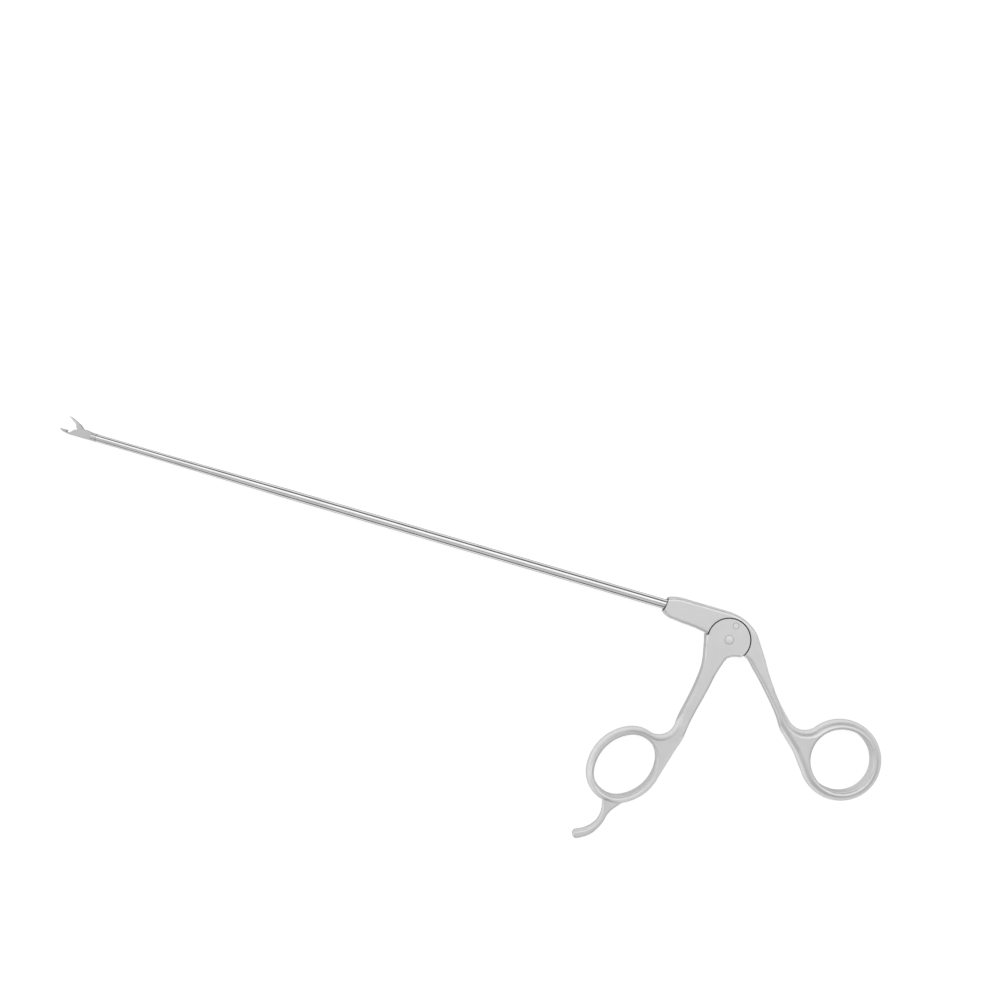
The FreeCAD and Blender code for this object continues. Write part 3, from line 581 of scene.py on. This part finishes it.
@dataclass
class Shaft:
    """The outer tube, and the rod with its head, nut and guides inside it.

    Args:
        nodes: The frame's objects by name.
        tip_radius: Outer radius of the tube at the jaws.
        bore: Radius of its bore at the handle.
        tip_bore: Radius of its bore at the jaws.
        taper_start: Where the taper starts along X.
        taper_end: Where the taper ends.
        edge: Rounding of the tube's edge at the jaws.
        soften: How far the roundings at both ends of the taper lie from the corners.
        facets: Number of facets round the tube.
    """

    nodes: dict[str, bpy.types.Object]
    tip_radius: float = 1.56 * MM
    bore: float = 1.45 * MM
    tip_bore: float = 1.2 * MM
    taper_start: float = -188.5 * MM
    taper_end: float = -236.7 * MM
    edge: float = 0.12 * MM
    soften: float = 0.018 * MM
    facets: int = 96

    def build(self) -> None:
        """Makes the polished tube and dresses what runs in it."""
        self._tube()
        dress(self.nodes["actuating_rod"], BRIGHT_STEEL.build())
        for name in ("rod_head", "rod_lock_nut", "tube_set_screw"):
            dress(self.nodes[name], TURNED_STEEL.build())
        dress(self.nodes["tube_ferrule"], BLACK_STEEL.build())
        dress(self.nodes["rod_guide_bushes"], GUIDE_PLASTIC.build())
        dress(self.nodes["rod_seal"], SEAL_RUBBER.build())

    def _tube(self) -> None:
        """Turns the tube: plain at the handle, tapered, and slimmer at the jaws."""
        low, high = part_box("outer_tube")
        radius = (high.z - low.z) / 2
        middle = Vector((0.0, (low.y + high.y) / 2, (low.z + high.z) / 2))
        tip, end, edge = low.x, high.x, self.edge
        outside = rounded((tip, self.tip_radius - edge), (tip, self.tip_radius), (tip + edge, self.tip_radius))
        outside += [(self.taper_end - 4 * MM, self.tip_radius)]
        outside += rounded((self.taper_end - 1 * MM, self.tip_radius), (self.taper_end, self.tip_radius),
                           (self.taper_end + 2 * MM, self.tip_radius + self.soften))
        outside += rounded((self.taper_start - 2 * MM, radius - self.soften), (self.taper_start, radius),
                           (self.taper_start + 1 * MM, radius))
        outside += [(end, radius), (end, self.bore), (self.taper_start, self.bore),
                    (self.taper_end, self.tip_bore), (tip, self.tip_bore)]
        mesh = turned_mesh(outside, middle, Vector((1.0, 0.0, 0.0)), self.facets)
        piece = finish_object("polished_tube", mesh, POLISHED_TUBE.build(), Body.FRAME)
        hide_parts("outer_tube")


@dataclass
class Jaws:
    """The fixed barbed jaw, the hinged jaw, and the two pins of their hinge and link.

    Args:
        nodes: The frame's objects by name.
    """

    nodes: dict[str, bpy.types.Object]

    def build(self) -> None:
        """Dresses the jaws and their pins."""
        for name in ("lower_jaw", "upper_jaw"):
            dress(self.nodes[name], JAW_STEEL.build())
        for name in ("jaw_pivot_pin", "link_pin"):
            low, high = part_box(name)
            dress(self.nodes[name], TURNED_STEEL.build((low + high) / 2))


def dress(node: bpy.types.Object, material: bpy.types.Material) -> None:
    """Gives a node of the frame its finish.

    Args:
        node: The node's object.
        material: The finish.
    """
    if not node.material_slots:
        node.data.materials.append(material)
    for slot in node.material_slots:
        slot.material = material
    LOG.info("dressed %s in %s", node.name, material.name)


@dataclass
class Studio:
    """A white table under soft light, seen straight from above.

    Args:
        eye: Where the camera is.
        turn: How far the camera is turned about its view.
        lens: The camera's focal length in millimetres.
        sensor: Width of its sensor in millimetres.
        floor_size: Width of the floor.
        floor_drop: How far the floor lies below the instrument.
        floor_grey: What the floor reflects.
        floor_glow: What it adds to the eye and to metal, so that it is white.
        sky: Strength of the world.
        panels: Greys of the room by its direction across the shaft, from -Y to +Y.
        heights: Share of those greys by height, from the horizon up.
        sweep: Greys that the room has at least, by height.
    """

    eye: Vector = field(default_factory=lambda: Vector((-103.7, 27.96, 507.6)) * MM)
    turn: float = math.radians(16.3)
    lens: float = 45.0
    sensor: float = 36.0
    floor_size: float = 6.0
    floor_drop: float = 0.02 * MM
    floor_grey: float = 0.40
    floor_glow: float = 0.78
    sky: float = 1.25
    panels: list[tuple[float, float]] = field(default_factory=lambda: [
        (0.0, 0.14), (0.04, 0.14), (0.08, 0.64), (0.33, 0.68), (0.36, 0.34), (0.46, 0.34), (0.50, 0.88),
        (0.86, 0.88), (0.89, 0.24), (1.0, 0.24)])
    heights: list[tuple[float, float]] = field(default_factory=lambda: [
        (0.0, 0.16), (0.25, 0.26), (0.60, 0.78), (0.85, 1.0), (1.0, 1.0)])
    sweep: list[tuple[float, float]] = field(default_factory=lambda: [
        (0.0, 0.8), (0.13, 0.8), (0.15, 0.0), (1.0, 0.0)])

    def build(self) -> None:
        """Makes the camera, the floor, the world and the lamps."""
        bpy.context.scene.view_settings.view_transform = "Standard"
        self._camera()
        self._floor()
        self._world()
        self._lamp("strip", Vector((0.0, 0.62, 1.0)), (2.2, 0.34), 1.5)
        self._lamp("fill", Vector((-2.2, -1.0, 1.0)), (0.8, 0.8), 5.0)

    def _camera(self) -> None:
        """Puts the camera where the photograph was taken from."""
        data = bpy.data.cameras.new("camera")
        data.lens = self.lens
        data.sensor_width = self.sensor
        data.clip_start = 0.01
        camera = bpy.data.objects.new("camera", data)
        camera.location = self.eye
        camera.rotation_euler = (0.0, 0.0, self.turn)
        bpy.context.scene.collection.objects.link(camera)
        bpy.context.scene.camera = camera

    def _floor(self) -> None:
        """Lays the white floor, which keeps the soft shadow of the instrument."""
        mesh = bmesh.new()
        bmesh.ops.create_grid(mesh, x_segments=2, y_segments=2, size=self.floor_size / 2)
        bmesh.ops.translate(mesh, verts=mesh.verts, vec=(0.0, 0.0, -self.floor_drop))
        data = bpy.data.meshes.new("floor")
        mesh.to_mesh(data)
        mesh.free()
        data.materials.append(self._floor_material())
        floor = bpy.data.objects.new("floor", data)
        bpy.context.scene.collection.objects.link(floor)

    def _floor_material(self) -> bpy.types.Material:
        """Makes the floor's white, of which a part is its own light to the eye and to metal."""
        material = bpy.data.materials.new("white_table")
        material.use_nodes = True
        sheet = NodeSheet(material.node_tree)
        shader = material.node_tree.nodes["Principled BSDF"]
        shader.inputs["Base Color"].default_value = (self.floor_grey, self.floor_grey, self.floor_grey, 1.0)
        shader.inputs["Roughness"].default_value = 0.9
        shader.inputs["Specular IOR Level"].default_value = 0.0
        shader.inputs["Emission Color"].default_value = (1.0, 1.0, 1.0, 1.0)
        glow = sheet.product(self._seen(sheet), self.floor_glow)
        sheet.link(glow, shader.inputs["Emission Strength"])
        return material

    @staticmethod
    def _seen(sheet: NodeSheet) -> bpy.types.NodeSocket:
        """Returns a socket that is 1 for what the eye, metal and glass see."""
        path = sheet.add("LightPath")
        either = sheet.math("MAXIMUM", path.outputs["Is Camera Ray"], path.outputs["Is Glossy Ray"])
        return sheet.math("MAXIMUM", either, path.outputs["Is Transmission Ray"])

    def _world(self) -> None:
        """Makes the room: panels along the shaft, and white round the horizon, past the floor's end."""
        world = bpy.data.worlds.new("studio")
        bpy.context.scene.world = world
        world.use_nodes = True
        sheet = NodeSheet(world.node_tree)
        sky = world.node_tree.nodes["Background"]
        split = sheet.add("SeparateXYZ")
        sheet.link(sheet.add("TexCoord").outputs["Generated"], split.inputs["Vector"])
        across = sheet.remap(split.outputs["Y"], 0.0, 1.0, -1.0, 1.0)
        panels = sheet.ramp(across, self.panels)
        height = sheet.ramp(split.outputs["Z"], self.heights)
        tone = sheet.add("VectorMath", operation="MULTIPLY")
        sheet.link(panels, tone.inputs[0])
        sheet.link(height, tone.inputs[1])
        sweep = sheet.ramp(split.outputs["Z"], self.sweep)
        brighter = sheet.add("VectorMath", operation="MAXIMUM")
        sheet.link(tone.outputs["Vector"], brighter.inputs[0])
        sheet.link(sweep, brighter.inputs[1])
        sheet.link(brighter.outputs["Vector"], sky.inputs["Color"])
        sky.inputs["Strength"].default_value = self.sky

    def _lamp(self, name: str, place: Vector, size: tuple[float, float], power: float) -> None:
        """Hangs a soft box that points at the middle of the instrument.

        Args:
            name: The lamp's name.
            place: Where it hangs.
            size: Its length and width.
            power: Its power in watts.
        """
        data = bpy.data.lights.new(name, "AREA")
        data.shape = "RECTANGLE"
        data.size, data.size_y = size
        data.energy = power
        lamp = bpy.data.objects.new(name, data)
        target = Vector((self.eye.x, 0.0, 0.0))
        lamp.location = place + target
        lamp.rotation_euler = (-place).to_track_quat("-Z", "Y").to_euler()
        lamp.visible_camera = False
        bpy.context.scene.collection.objects.link(lamp)


def main() -> None:
    """Builds the studio and the instrument's looks."""
    logging.basicConfig(level=logging.INFO, format="%(name)s: %(message)s")
    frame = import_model()
    nodes = frame["nodes"]
    Studio().build()
    for assembly in (Handles(nodes), Shaft(nodes), Jaws(nodes)):
        assembly.build()


if __name__ == "__main__":
    main()
